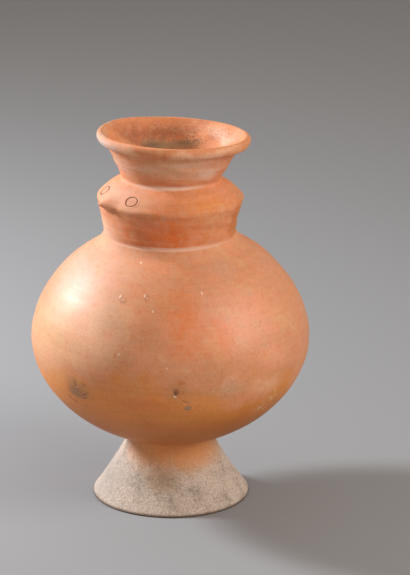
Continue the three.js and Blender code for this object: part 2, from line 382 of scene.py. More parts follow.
def tongue_inside(vase):
    """Where the rim's clay ends on the inner side of the neck."""
    neck = vase.neck
    return (neck.tongue[0] - neck.tongue_wall, neck.tongue[1])


def neck_inside(vase):
    """Inner outline of the neck, from the rim down to the throat."""
    hollow = (0.045, 0.336)
    return bend(tongue_inside(vase), hollow, throat_inside(vase))


def height_on(outline, radius):
    """Height of an outline at a radius, where the outline runs inwards or outwards only."""
    order = np.argsort(outline[:, 0])
    return float(np.interp(radius, outline[order, 0], outline[order, 1]))


def radius_on(outline, height):
    """Radius of an outline at a height, where the outline runs upwards only."""
    order = np.argsort(outline[:, 1])
    return np.interp(height, outline[order, 1], outline[order, 0])


def columns(count, toward=57.8, crowd=0.3):
    """Azimuths of a surface's columns, in radians: equal steps u, less crowd times the sine of u, so that
    the columns stand closer on the side at the azimuth `toward`."""
    u = np.linspace(-np.pi, np.pi, count, endpoint=False)
    return math.radians(toward) + u - crowd * np.sin(u)


GLOBE_COLUMNS = columns(760)
HEAD_COLUMNS = columns(880, toward=22, crowd=0.45)
FOOT_COLUMNS = columns(720)


class Turned:
    """A clay surface turned about the axis: rows follow an outline, upwards on its outer side, and columns
    go round. A stretch of outline is its points and how much relief its skin carries, from 0 to 1."""

    def __init__(self, azimuths, *stretches):
        parts = []
        for number, (points, relief) in enumerate(stretches):
            along = np.gradient(points, axis=0)
            along /= np.hypot(*along.T)[:, None]
            share = np.full(len(points), float(relief))
            part = np.column_stack([points, along[:, 1], -along[:, 0], share, 0 * share + number])
            if parts and np.allclose(parts[-1][-1, :2], points[0], atol=1e-7):
                if relief > parts[-1][-1, 4]:
                    parts[-1] = parts[-1][:-1]
                else:
                    part = part[1:]
            parts.append(part)
        self.closed = bool(np.allclose(parts[0][0, :2], parts[-1][-1, :2], atol=1e-7))
        if self.closed:
            parts[-1] = parts[-1][:-1]
        rows = np.vstack(parts)
        self.radius, self.height, self.out, self.up, self.relief = (rows[:, k : k + 1] for k in range(5))
        self.stretch = rows[:, 5]
        self.azimuth = azimuths[None, :]
        self.offset = np.zeros((len(rows), len(azimuths)))
        self.tint = np.zeros_like(self.offset)

    def lift(self, offset):
        """Moves the skin outwards by an offset."""
        self.offset += self.relief * offset

    def rub(self, marks, sunk=0.0):
        """Lifts the skin by the marks of burnishing, less a depth by which it is sunk."""
        self.lift(burnish(self.azimuth, self.height, marks) - sunk)

    def spot(self, azimuth, height):
        """Row nearest to a height on the skin, and the point, across and up directions there."""
        row = int(np.argmin(np.abs(self.height - height) + (self.relief <= 0)))
        r, z = self.radius[row, 0], self.height[row, 0]
        sine, cosine = math.sin(azimuth), math.cos(azimuth)
        place = np.array([r * sine, -r * cosine, z])
        across = np.array([cosine, sine, 0])
        in_r, in_z = -self.up[row, 0], self.out[row, 0]
        return place, across, np.array([in_r * sine, -in_r * cosine, in_z])

    def flat(self, azimuth, height):
        """Distances of all points across and up from a spot, measured in the plane of the clay there."""
        place, across, upward = self.spot(azimuth, height)
        r = self.radius
        x, y = r * np.sin(self.azimuth) - place[0], -r * np.cos(self.azimuth) - place[1]
        z = self.height - place[2]
        far = x * place[0] + y * place[1] < -(place[0] ** 2 + place[1] ** 2)
        u = x * across[0] + y * across[1]
        v = x * upward[0] + y * upward[1] + z * upward[2]
        return np.where(far, 1.0, u), v

    def points(self):
        """All points, before the lean and the hand's unevenness."""
        r = self.radius + self.out * self.offset
        z = np.broadcast_to(self.height + self.up * self.offset, r.shape)
        return np.stack([r * np.sin(self.azimuth), -r * np.cos(self.azimuth), z], axis=-1)


def band(azimuths, skin, inside, over=(), relief=0.0):
    """Ring of clay turned about the axis: up its skin, across its upper edge by way of the points `over`,
    down its inside, which has a relief of its own, and back across its lower edge."""
    return Turned(
        azimuths,
        (skin, 1.0),
        (straight(skin[-1], *over, inside[0]), 0.0),
        (inside, relief),
        (straight(inside[-1], skin[0]), 0.0),
    )


def grid_faces(rows, count, closed, poles):
    """Corners of the quads between neighbouring rows and columns, and of the fans round two poles, whose
    points come after the grid's."""
    row = np.arange(rows if closed else rows - 1)[:, None]
    column = np.arange(count)[None, :]
    beside = (column + 1) % count
    above = (row + 1) % rows
    corners = [row * count + column, row * count + beside, above * count + beside, above * count + column]
    quads = np.stack([np.broadcast_to(c, (len(row), count)) for c in corners], axis=-1).reshape(-1, 4)
    if not poles:
        return quads, np.empty((0, 3), int)
    here, following = column[0], beside[0]
    last = (rows - 1) * count
    first_fan = np.column_stack([np.full(count, rows * count), following, here])
    last_fan = np.column_stack([np.full(count, rows * count + 1), last + here, last + following])
    return quads, np.vstack([first_fan, last_fan])


def skin_normals(mesh, surface, grid):
    """Gives each skin the normals of its own grid, so that two skins that meet in a seam shade as one."""
    normals = np.zeros((len(mesh.vertices), 3))
    skin = np.zeros(len(mesh.vertices))
    for number in np.unique(surface.stretch[surface.relief[:, 0] > 0]):
        chosen = surface.stretch == number
        part = grid[chosen]
        up = np.gradient(part, axis=0, edge_order=2)
        across = np.roll(part, -1, axis=1) - np.roll(part, 1, axis=1)
        facing = np.cross(across, up)
        place = np.repeat(chosen, grid.shape[1]).nonzero()[0]
        normals[place] = (facing / np.linalg.norm(facing, axis=2, keepdims=True)).reshape(-1, 3)
        skin[place] = number + 1
    corners = np.empty(len(mesh.loops), dtype=np.int32)
    mesh.loops.foreach_get("vertex_index", corners)
    sides = np.empty(len(mesh.polygons), dtype=np.int32)
    mesh.polygons.foreach_get("loop_total", sides)
    starts = np.cumsum(sides) - sides
    low = np.minimum.reduceat(skin[corners], starts)
    whole = (low > 0) & (low == np.maximum.reduceat(skin[corners], starts))
    mesh.normals_split_custom_set(normals[corners] * np.repeat(whole, sides)[:, None])


def new_mesh(name, points, quads, triangles):
    """Mesh of points, quads and triangles, smooth but for edges that turn by more than 50 degrees."""
    mesh = bpy.data.meshes.new(name)
    mesh.vertices.add(len(points))
    mesh.vertices.foreach_set("co", points.astype(np.float32).ravel())
    corners = np.concatenate([quads.ravel(), triangles.ravel()])
    mesh.loops.add(len(corners))
    mesh.loops.foreach_set("vertex_index", corners.astype(np.int32))
    starts = np.concatenate([np.arange(len(quads)) * 4, quads.size + np.arange(len(triangles)) * 3])
    mesh.polygons.add(len(starts))
    mesh.polygons.foreach_set("loop_start", starts.astype(np.int32))
    mesh.update(calc_edges=True)
    mesh.polygons.foreach_set("use_smooth", np.ones(len(starts), dtype=bool))
    mesh.set_sharp_from_angle(angle=math.radians(50))
    mesh.validate()
    return mesh


def add_piece(node, mesh, material, tint=None):
    """Object that stands for a node, rides on the vase's one body and has its finish."""
    if tint is not None:
        mesh.attributes.new("tint", "FLOAT", "POINT").data.foreach_set("value", tint.astype(np.float32))
    mesh.materials.append(material)
    piece = bpy.data.objects.new(node + "_clay", mesh)
    bpy.context.scene.collection.objects.link(piece)
    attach(piece, "root")
    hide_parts(node)


def add_turned(vase, node, surface, finish):
    """Piece made of a turned surface, with the lean and the hand's unevenness. The finish is a function
    of the vase's colours."""
    grid = surface.points()
    poles = not surface.closed
    rows, count = grid.shape[:2]
    ends = np.array([[0, 0, grid[0, 0, 2]], [0, 0, grid[-1, 0, 2]]])
    grid = uneven(lean(grid, vase.neck.height))
    points = np.vstack([grid.reshape(-1, 3), ends]) if poles else grid.reshape(-1, 3)
    tint = np.append(surface.tint, [0, 0]) if poles else surface.tint.ravel()
    mesh = new_mesh(node, points, *grid_faces(rows, count, surface.closed, poles))
    skin_normals(mesh, surface, grid)
    add_piece(node, mesh, finish(vase.clay), tint)


def step_up(x):
    """Smooth step from 0 to 1."""
    x = np.clip(x, 0, 1)
    return x * x * (3 - 2 * x)


class Burnish(NamedTuple):
    """How a skin was burnished: the depth of the marks, and the shortest and the longest of their waves,
    in millimetres."""

    depth: float
    shortest: float = 3
    longest: float = 17


GLOBE_BURNISH = Burnish(0.1, shortest=9, longest=40)
COLLAR_BURNISH = Burnish(0.14)
NECK_BURNISH = Burnish(0.16)
BURNISH_WAVES = 26
MOST_TURNS = 8


def burnish(azimuth, height, marks):
    """Marks of the burnishing pebble: a sum of waves that go round a few times and rise in a few
    millimetres each, so that they lie level. A wave's size goes with its length."""
    chance = np.random.default_rng(3)
    total = 0
    for _ in range(BURNISH_WAVES):
        turns = int(chance.integers(0, MOST_TURNS + 1))
        wave = chance.uniform(marks.shortest, marks.longest) * MM
        phase = chance.uniform(0, TAU)
        total = total + wave * np.cos(turns * azimuth + TAU * height / wave + phase)
    return marks.depth * MM * total / (2.4 * marks.longest * MM)


def grain(azimuth, height, cells_round, cell, seed):
    """Grit under the skin: random heights on a lattice, joined by smooth steps, that closes round the pot."""
    chance = np.random.default_rng(seed)
    u = (azimuth / TAU % 1) * cells_round
    v = (height - height.min()) / cell
    lattice = chance.uniform(-1, 1, (int(v.max()) + 3, cells_round))
    row, column = np.broadcast_arrays(np.floor(v).astype(int), np.floor(u).astype(int))
    fu, fv = step_up(u - np.floor(u)), step_up(v - np.floor(v))

    def corner(down, side):
        return lattice[row + down, (column + side) % cells_round]

    low = corner(0, 0) * (1 - fu) + corner(0, 1) * fu
    high = corner(1, 0) * (1 - fu) + corner(1, 1) * fu
    return low * (1 - fv) + high * fv


class Signal:
    """A socket in a sum: Python's operators on it add the Math nodes that work the sum out."""

    def __init__(self, clay, socket):
        self.clay = clay
        self.socket = socket

    def _sum(self, operation, first, second):
        return self.clay.node("ShaderNodeMath", {"operation": operation}, {0: first, 1: second})

    def __add__(self, other):
        return self._sum("ADD", self, other)

    def __radd__(self, other):
        return self._sum("ADD", other, self)

    def __sub__(self, other):
        return self._sum("SUBTRACT", self, other)

    def __rsub__(self, other):
        return self._sum("SUBTRACT", other, self)

    def __mul__(self, other):
        return self._sum("MULTIPLY", self, other)

    def __rmul__(self, other):
        return self._sum("MULTIPLY", other, self)


class Clay:
    """A material being put together. Positions are the object's own coordinates."""

    def __init__(self, name):
        self.material = bpy.data.materials.new(name)
        self.material.use_nodes = True
        self.tree = self.material.node_tree
        self.shader = self.tree.nodes["Principled BSDF"]
        self.place = self.node("ShaderNodeTexCoord", output="Object")

    def node(self, kind, settings=None, values=None, output=0):
        """Adds a node of a kind. Its settings come first, then the values or links of its sockets."""
        node = self.tree.nodes.new(kind)
        for name, setting in (settings or {}).items():
            setattr(node, name, setting)
        for key, value in (values or {}).items():
            self.feed(node.inputs[key], value)
        return Signal(self, node.outputs[output])

    def feed(self, socket, value):
        """Links a signal to a socket, or sets the socket's own value."""
        if isinstance(value, Signal):
            self.tree.links.new(value.socket, socket)
        elif socket.type == "RGBA":
            socket.default_value = (*value, 1) if len(value) == 3 else value
        else:
            socket.default_value = value

    def mix(self, first, second, share):
        """Colour that goes from the first to the second as the share goes from 0 to 1."""
        settings = {"data_type": "RGBA", "clamp_factor": True}
        return self.node("ShaderNodeMix", settings, {0: share, 6: first, 7: second}, output=2)

    def noise(self, scale, detail, rough, place=None, output=0):
        """Cloudy noise between 0 and 1, with its lumps about 1 / scale metres apart."""
        values = {"Vector": place or self.place, "Scale": scale, "Detail": detail, "Roughness": rough}
        return self.node("ShaderNodeTexNoise", None, values, output)

    def stretch(self, scale):
        """The position with each axis scaled."""
        return self.node("ShaderNodeMapping", None, {"Vector": self.place, "Scale": scale})

    def drift(self, scale, reach):
        """The position, moved about by up to the reach in lumps about 1 / scale apart."""
        lumps = self.noise(scale, detail=3, rough=0.6, output="Color")
        middle = self.vector("SUBTRACT", lumps, (0.5, 0.5, 0.5))
        return self.vector("ADD", self.place, self.vector("MULTIPLY", middle, (2 * reach,) * 3))

    def vector(self, operation, first, second):
        """Result of an operation on two vectors or colours, part by part."""
        return self.node("ShaderNodeVectorMath", {"operation": operation}, {0: first, 1: second})

    def shade(self, colour, share):
        """Colour made lighter or darker by a share of itself."""
        return self.node("ShaderNodeVectorMath", {"operation": "SCALE"}, {0: colour, "Scale": share})

    def between(self, signal, low, high):
        """Smooth share of the way that a signal is from low to high."""
        values = {"Value": signal, "From Min": low, "From Max": high}
        return self.node("ShaderNodeMapRange", {"interpolation_type": "SMOOTHSTEP"}, values)

    def within(self, patch, place, soft=1.0):
        """Share from 0 at a patch's edge to the patch's own share at its middle. The softness is the part
        of the way in over which it grows."""
        turn = math.radians(patch.azimuth)
        middle = np.array([patch.radius * math.sin(turn), -patch.radius * math.cos(turn), patch.height]) * MM
        half = np.array([patch.wide, patch.deep, patch.tall]) * MM
        values = {"Vector": place, "Location": tuple(middle), "Scale": tuple(half)}
        values["Rotation"] = (0, -math.radians(patch.tilt), turn)
        inside = self.node("ShaderNodeMapping", {"vector_type": "TEXTURE"}, values)
        reach = self.node("ShaderNodeVectorMath", {"operation": "LENGTH"}, {0: inside}, output="Value")
        return self.between(reach, 1.0, 1.0 - soft) * patch.share

    def paint(self, colour, patches, place, soft=1.0):
        """Colour with the patches laid over it."""
        for patch in patches:
            colour = self.mix(colour, patch.colour, self.within(patch, place, soft))
        return colour

    def specks(self, scale, size, share):
        """Round specks of about the size, in a share of the cells, whose width is 1 / scale."""
        values = {"Vector": self.place, "Scale": scale, "Randomness": 1.0}
        distance = self.node("ShaderNodeTexVoronoi", None, values, output="Distance")
        chosen = Signal(self, distance.socket.node.outputs["Color"])
        near = self.between(distance, size * scale, 0.4 * size * scale)
        return near * self.between(chosen, 1 - share, 1 - 0.8 * share)

    def height(self, place=None):
        """Height above the ground."""
        return self.node("ShaderNodeSeparateXYZ", None, {0: place or self.place}, output="Z")

    def pressed(self):
        """How far the clay is darkened where something was pressed into it: dark incised lines, with painted
        shade.
        """
        return self.node("ShaderNodeAttribute", {"attribute_name": "tint"}, output="Fac")

    def finish(self, colour, roughness, bump, bump_distance):
        """Feeds the shader and hands back the material."""
        values = {"Height": bump, "Distance": bump_distance, "Strength": 1.0}
        normal = self.node("ShaderNodeBump", None, values)
        self.feed(self.shader.inputs["Base Color"], colour)
        self.feed(self.shader.inputs["Roughness"], roughness)
        self.feed(self.shader.inputs["Normal"], normal)
        return self.material


class Patch(NamedTuple):
    """A place on the skin with a colour of its own, or with painted light or shade: an azimuth, a radius and
    a height, then half its width and half its height. The tilt turns it, to rise to the right of someone who
    looks at it, and deep is half its size along the radius. Millimetres and degrees."""

    azimuth: float
    radius: float
    height: float
    wide: float
    tall: float
    colour: tuple
    share: float = 0.8
    tilt: float = 0.0
    deep: float = 60.0


# Colours of the clay; some of them also paint shade, shadow, highlights and bounced light in the patches
# below
PEACH = (0.68, 0.40, 0.29)
CREAM = (0.78, 0.54, 0.43)
GREY = (0.47, 0.42, 0.39)
SAND = (0.81, 0.45, 0.28)
OCHRE = (0.70, 0.39, 0.20)
SALMON = (0.78, 0.32, 0.18)
RED = (0.76, 0.20, 0.055)
BRICK = (0.70, 0.155, 0.03)
AMBER = (0.77, 0.26, 0.035)
UMBER = (0.52, 0.14, 0.02)
OLIVE = (0.44, 0.21, 0.07)
DUSK = (0.30, 0.10, 0.04)
EARTH_AND_SHADE = (0.30, 0.19, 0.10)
RUN_AND_BOUNCE = (0.74, 0.32, 0.11)
STONE = (0.37, 0.32, 0.29)
ASH = (0.56, 0.32, 0.20)
SOOT_AND_SHADE = (0.07, 0.04, 0.025)
CHALK = (0.85, 0.66, 0.50)

# Clouds of fired colour on the globe; the pale one near the key light's highlight is partly a painted
# highlight
GLOBE_CLOUDS_AND_HIGHLIGHT = (
    Patch(-8, 92, 246, 100, 46, PEACH, 0.85),
    Patch(-4, 128, 180, 76, 50, OCHRE, 0.9),
    # Partly pale slip, partly painted highlight: spreads the key light's highlight wider
    Patch(24, 126, 198, 46, 50, SAND, 0.85),
    Patch(30, 120, 212, 24, 40, ASH, 0.6),
    Patch(64, 114, 210, 30, 44, RED, 0.75),
    Patch(92, 120, 205, 66, 46, SALMON, 0.9),
    Patch(78, 124, 196, 24, 36, RED, 0.55),
    Patch(40, 128, 156, 46, 24, AMBER, 0.7),
    Patch(48, 126, 132, 44, 15, RED, 0.5),
    Patch(90, 126, 133, 46, 18, SALMON, 0.7),
    Patch(104, 130, 166, 34, 14, SALMON, 0.8),
    Patch(93, 84, 250, 24, 14, ASH, 0.5),
    Patch(74, 133, 168, 40, 16, OLIVE, 0.3),
    Patch(100, 128, 144, 30, 14, SAND, 0.6),
    Patch(126, 126, 140, 20, 24, SALMON, 0.7),
    Patch(15, 129, 136, 20, 17, OLIVE, 0.8),
    Patch(62, 129, 148, 16, 18, OLIVE, 0.5),
    Patch(82, 131, 148, 30, 16, ASH, 0.6),
)
GLOBE_FLECKS = (
    Patch(81, 131, 147, 20, 15, CREAM, 0.5),
    Patch(106, 120, 120, 22, 8, CHALK, 0.8, tilt=24),
    Patch(66, 128, 132, 26, 14, SALMON, 0.6),
    Patch(61, 132, 147, 9, 9, UMBER, 0.9),
)
# Marks of use on the globe, and a painted highlight along the collar's luting coil
GLOBE_MARKS_AND_HIGHLIGHT = (
    # Painted highlight: a pale line along the luting coil at the foot of the collar
    Patch(60, 64, 263.4, 86, 1.8, CREAM, 0.5),
    Patch(14, 129, 135, 17, 10, DUSK, 0.45),
    Patch(14, 129, 135, 11, 7, EARTH_AND_SHADE, 0.5),
    Patch(15, 130, 145, 2.4, 8, DUSK, 0.6, tilt=14),
    Patch(15.5, 130, 142, 6, 1.3, DUSK, 0.8, tilt=-35),
    Patch(19.8, 132, 145.2, 4, 1.3, DUSK, 0.9, tilt=-30),
    Patch(19, 129, 134.5, 9, 1.3, DUSK, 0.9, tilt=30),
    Patch(18.5, 127, 130.2, 6, 1.2, DUSK, 0.9, tilt=20),
    Patch(8.3, 126, 125.6, 5, 1.4, DUSK, 0.9, tilt=-60),
    Patch(11, 124, 122.6, 6, 1.2, DUSK, 0.8, tilt=-8),
    Patch(16, 131, 141, 3, 1.2, SAND, 0.7),
    Patch(60, 132, 148, 4, 5.5, DUSK, 0.8, tilt=20),
    Patch(59.8, 132, 146, 1.8, 2.6, SOOT_AND_SHADE, 0.8),
    Patch(59.6, 131, 142.5, 2, 1.5, CHALK, 1.0),
    Patch(64, 130, 137, 6, 1.5, DUSK, 0.6, tilt=-30),
    Patch(65, 127, 129.5, 5, 4, EARTH_AND_SHADE, 1.0),
    Patch(65, 127, 130, 2.4, 1.6, ASH, 0.9),
    Patch(62, 133, 157, 6, 3, UMBER, 0.6),
    Patch(33, 105, 225.5, 6, 3.6, DUSK, 0.5, tilt=-24),
    Patch(33, 105, 226, 2.6, 1.4, PEACH, 0.9),
    Patch(31, 104, 228, 1.2, 2, CHALK, 1.0),
    Patch(45.6, 103, 229, 4, 3.4, DUSK, 0.5, tilt=40),
    Patch(45.6, 103, 229, 1.8, 1.4, PEACH, 0.9),
    Patch(44.2, 102, 230.5, 1.2, 1.6, CHALK, 1.0),
    Patch(35.4, 72, 252.6, 1.5, 1.4, CHALK, 0.9),
    Patch(75, 99.5, 232.2, 1.3, 1.6, CHALK, 1.0),
    Patch(49.3, 112, 219, 1.2, 1.6, CHALK, 0.9),
    Patch(36.3, 131, 181.4, 1.5, 1.9, CHALK, 0.9),
    Patch(34.6, 131, 180, 1.6, 3, UMBER, 0.5),
    Patch(56.4, 133, 171.3, 1.2, 1.3, CHALK, 0.9),
    Patch(108.3, 128, 131.4, 0.9, 5, CHALK, 0.6, tilt=30),
    Patch(103.6, 118, 114, 3.5, 1.6, CHALK, 0.6, tilt=20),
    Patch(108, 116, 111, 5, 1.2, CHALK, 0.5, tilt=24),
)
# Clouds of fired colour on the collar, neck and rim, with painted light on the collar wall's left, the neck's
# right and the rim's front, and painted shade inside the mouth
COLLAR_CLOUDS_LIGHT_AND_SHADE = (
    # Partly pale slip, partly painted light: the collar wall's left side, where the key light falls
    Patch(-14, 62, 268, 34, 28, PEACH, 0.9, deep=30),
    Patch(50, 63, 276, 58, 34, BRICK, 1.0, deep=30),
    Patch(138, 66, 282, 18, 34, OLIVE, 0.9, deep=30),
    Patch(124, 66, 282, 18, 32, UMBER, 0.9, deep=30),
    Patch(2, 60, 309, 64, 17, PEACH, 0.75, deep=46),
    Patch(88, 58, 303, 36, 14, AMBER, 0.5, deep=30),
    Patch(60, 56, 338, 70, 20, SAND, 0.8, deep=30),
    Patch(0, 56, 336, 30, 16, PEACH, 0.8, deep=30),
    # Painted light: the neck's right side made paler for the fill light from the right
    Patch(102, 56, 336, 26, 16, CREAM, 0.7, deep=30),
    Patch(51, 54, 339, 9, 4, RED, 0.6, deep=12),
    Patch(80, 70, 354, 70, 7, SAND, 0.9, deep=30),
    Patch(-15, 70, 356, 56, 12, GREY, 1.0, deep=26),
    # Painted light: the rim's lower front made paler where the light falls on it
    Patch(19, 72, 353, 30, 7, SAND, 0.8, deep=26),
    # Partly stains, partly painted shade: the mouth's inside on the left, turned away from the key light
    Patch(-105, 52, 346, 90, 26, DUSK, 0.85, deep=16),
    Patch(-172, 60, 352, 36, 15, CREAM, 0.8, deep=14),
    Patch(14, 73, 298, 10, 4, OLIVE, 0.5, deep=20),
)
# Marks of use on the collar, neck and rim, with painted highlights along the two luting coils and painted
# shade under the beak
COLLAR_MARKS_LIGHT_AND_SHADE = (
    Patch(78, 58, 344, 34, 5, CREAM, 0.4, deep=24),
    Patch(36, 53, 339, 24, 6, CREAM, 0.3, deep=24),
    # Painted highlights: pale lines along the luting coils at the throat and at the foot of the collar
    Patch(57, 50, 319, 70, 3, CREAM, 0.85, deep=30),
    Patch(60, 63, 265, 86, 1.6, CREAM, 0.7),
    # Painted shade: the dark underside of the beak
    Patch(6, 76, 295, 8, 4, EARTH_AND_SHADE, 0.8, deep=14),
    Patch(0, 83, 302, 4, 3, CREAM, 1.0, deep=6),
    Patch(-146, 56, 347, 0.9, 9, SOOT_AND_SHADE, 0.5, tilt=-8, deep=8),
    Patch(-121, 51, 340, 3, 1.8, UMBER, 0.9, deep=8),
    Patch(-120, 48, 336, 60, 9, EARTH_AND_SHADE, 0.9, deep=9),
    Patch(-100, 48, 336, 16, 5, SOOT_AND_SHADE, 0.5, deep=9),
    Patch(-138, 48, 338, 14, 4, SOOT_AND_SHADE, 0.5, deep=9),
    Patch(-166, 55, 345, 12, 7, DUSK, 0.5, deep=10),
    Patch(-150, 51, 340, 6, 1.8, SOOT_AND_SHADE, 0.8, tilt=-20, deep=8),
    Patch(-160, 52, 341, 3, 1.2, SOOT_AND_SHADE, 0.7, tilt=15, deep=8),
    Patch(-175, 52, 342, 4, 1, SOOT_AND_SHADE, 0.6, deep=8),
    Patch(122, 62, 353, 10, 0.8, SOOT_AND_SHADE, 0.6, deep=5),
)
COLLAR_FLECKS = (
    Patch(-140, 54, 345, 90, 20, DUSK, 0.8, deep=14),
    Patch(-120, 48, 337, 60, 12, SOOT_AND_SHADE, 0.7, deep=9),
)
# Patches on the foot: a painted shadow of the bowl, grey clay, and the slip run with painted light bounced
# from the bowl
FOOT_CLOUDS_LIGHT_AND_SHADE = (
    # Painted shadow: the bowl's shadow on the foot
    Patch(48, 56, 30, 26, 13, EARTH_AND_SHADE, 0.6),
    Patch(-20, 60, 20, 50, 34, STONE, 0.6),
    Patch(68, 34, 57, 80, 36, ASH, 0.7),
    # Partly slip run down from the bowl, partly painted light bounced from the bowl onto the foot's top
    Patch(72, 34, 61, 78, 33, RUN_AND_BOUNCE, 0.95),
)


def slip_material(name, colour, clouds, flecks, marks, streak, rough):
    """Slipped clay: clouds of fired colour, level streaks of burnishing, fine temper, marks of use. Painted
    shade makes the underside darker and redder, and some clouds and marks are painted light, highlights or
    shade.
    """
    clay = Clay(name)
    wisps = clay.noise(26, detail=4, rough=0.6)
    blush = clay.noise(50, detail=3, rough=0.6)
    mottles = clay.noise(150, detail=3, rough=0.65)
    streaks = clay.noise(1, detail=4, rough=0.6, place=clay.stretch((9, 9, 320)))
    temper = clay.noise(500, detail=3, rough=0.7)
    drift = clay.drift(30, 16 * MM)
    level = clay.height(drift)
    slipped = clay.between(level, 0.12, 0.18)
    # Painted shade: below the belly the slip turns more saturated, then darker towards the bottom, for the
    # shade under the globe
    base = clay.mix(colour, AMBER, clay.between(level, 0.166, 0.130) * 0.85)
    base = clay.paint(base, clouds, drift, soft=0.9)
    base = clay.mix(base, UMBER, clay.between(level, 0.130, 0.085) * 0.85)
    base = clay.mix(base, ASH, clay.between(wisps, 0.5, 0.75) * slipped * 0.35)
    base = clay.mix(base, SALMON, clay.between(blush, 0.5, 0.7) * slipped * 0.4)
    base = clay.mix(base, OCHRE, clay.between(blush, 0.48, 0.3) * slipped * 0.4)
    base = clay.mix(base, ASH, clay.between(mottles, 0.5, 0.7) * slipped * 0.35)
    base = clay.mix(base, UMBER, clay.between(mottles, 0.5, 0.25) * 0.3)
    base = clay.shade(base, 1 + (streaks - 0.5) * streak + (temper - 0.5) * 0.4)
    base = clay.mix(base, CHALK, clay.specks(160, 0.7 * MM, 0.05) * 0.4)
    base = clay.mix(base, UMBER, clay.specks(110, 0.9 * MM, 0.06) * 0.4)
    spots = clay.between(clay.noise(560, detail=3, rough=0.7), 0.52, 0.6)
    stains = spots * clay.between(mottles, 0.4, 0.52)
    for patch in flecks:
        base = clay.mix(base, patch.colour, stains * clay.within(patch, clay.place, soft=0.7))
    base = clay.paint(base, marks, clay.drift(400, 1.0 * MM), soft=0.8)
    # Dark pressed lines of the eyes, partly painted shade
    base = clay.mix(base, SOOT_AND_SHADE, clay.pressed())
    dull = clay.between(level, 0.242, 0.256)
    roughness = rough + dull * (0.78 - rough) + (streaks - 0.5) * 0.12
    return clay.finish(base, roughness, streaks * 0.5 + temper * 0.5, 0.12 * MM)


def burnished_clay(colours):
    """Burnished slip of the globe."""
    made = bpy.data.materials.get("globe_skin")
    patches = (GLOBE_CLOUDS_AND_HIGHLIGHT, GLOBE_FLECKS, GLOBE_MARKS_AND_HIGHLIGHT)
    return made or slip_material("globe_skin", colours.slip, *patches, streak=0.2, rough=0.5)


def collar_clay(colours):
    """Wiped slip of the collar, the neck and the rim."""
    made = bpy.data.materials.get("collar_skin")
    patches = (COLLAR_CLOUDS_LIGHT_AND_SHADE, COLLAR_FLECKS, COLLAR_MARKS_LIGHT_AND_SHADE)
    return made or slip_material("collar_skin", colours.collar_slip, *patches, streak=0.35, rough=0.72)


def bare_clay(colours):
    """Grainy, unslipped clay of the foot, with some of the bowl's slip run down over its top and painted
    light bounced from the bowl there, a painted shadow of the bowl, and a painted contact shadow along the
    ground.
    """
    made = bpy.data.materials.get("foot_skin")
    if made:
        return made
    clay = Clay("foot_skin")
    grit = clay.noise(560, detail=3, rough=0.75)
    clouds = clay.noise(60, detail=4, rough=0.65)
    colour = tuple(colours.bare)
    darker = tuple(0.6 * part for part in colour)
    base = clay.mix(darker, colour, clay.between(clouds, 0.25, 0.55))
    base = clay.mix(base, EARTH_AND_SHADE, clay.between(grit, 0.45, 0.3) * 0.5)
    base = clay.mix(base, CHALK, clay.specks(300, 0.9 * MM, 0.3) * 0.3)
    base = clay.shade(base, 1 + (grit - 0.5) * 1.1)
    base = clay.paint(base, FOOT_CLOUDS_LIGHT_AND_SHADE, clay.drift(60, 7 * MM), soft=0.8)
    # Partly slip run, partly painted light bounced from the bowl, over the foot's top
    base = clay.mix(base, RUN_AND_BOUNCE, clay.between(clay.height(), 0.054, 0.064) * 0.6)
    base = clay.shade(base, 1 + (grit - 0.5) * 0.5)
    # Painted shade: a dark contact shadow along the foot's lowest few millimetres
    base = clay.mix(base, SOOT_AND_SHADE, clay.between(clay.height(), 0.0038, 0.0006) * 0.95)
    return clay.finish(base, 0.9, grit, 0.5 * MM)


class VASE_OT_foot(Operator):
    """Adds the hollow trumpet foot"""

    bl_idname = "vase.foot"
    bl_label = "Foot"

    def execute(self, context):
        vase = context.scene.vase
        edge, trumpet = foot_outlines(vase)
        bore = foot_bore(vase)
        surface = Turned(
            FOOT_COLUMNS,
            (evenly(edge, 0.5 * MM), 0.0),
            (evenly(trumpet, 0.7 * MM), 1.0),
            (straight(trumpet[-1], bore[0]), 0.0),
            (evenly(bore, 2 * MM), 0.0),
            (straight(bore[-1], edge[0]), 0.0),
        )
        fade = step_up(surface.height / (3 * MM))
        coarse = grain(surface.azimuth, surface.height, 150, 2.6 * MM, seed=5)
        fine = grain(surface.azimuth, surface.height, 330, 1.2 * MM, seed=6)
        surface.lift(fade * (0.14 * coarse + 0.1 * fine) * MM)
        add_turned(vase, "pedestal_foot", surface, bare_clay)
        return {"FINISHED"}


class VASE_OT_bowl(Operator):
    """Adds the round-bottomed lower half of the globe"""

    bl_idname = "vase.bowl"
    bl_label = "Bowl"

    def execute(self, context):
        vase = context.scene.vase
        globe = vase.globe
        outer_seam, inner_seam = globe_seam(globe)
        skin = evenly(globe_arc(globe, high=outer_seam), 1.9 * MM)[1:]
        inside = evenly(globe_arc(globe, inset=globe.wall, high=inner_seam)[::-1], 8 * MM)[:-1]
        surface = Turned(
            GLOBE_COLUMNS,
            (skin, 1.0),
            (straight(skin[-1], inside[0]), 0.0),
            (inside, 0.0),
        )
        surface.rub(GLOBE_BURNISH, sunk=0.1 * MM)
        add_turned(vase, "base_bowl", surface, burnished_clay)
        return {"FINISHED"}


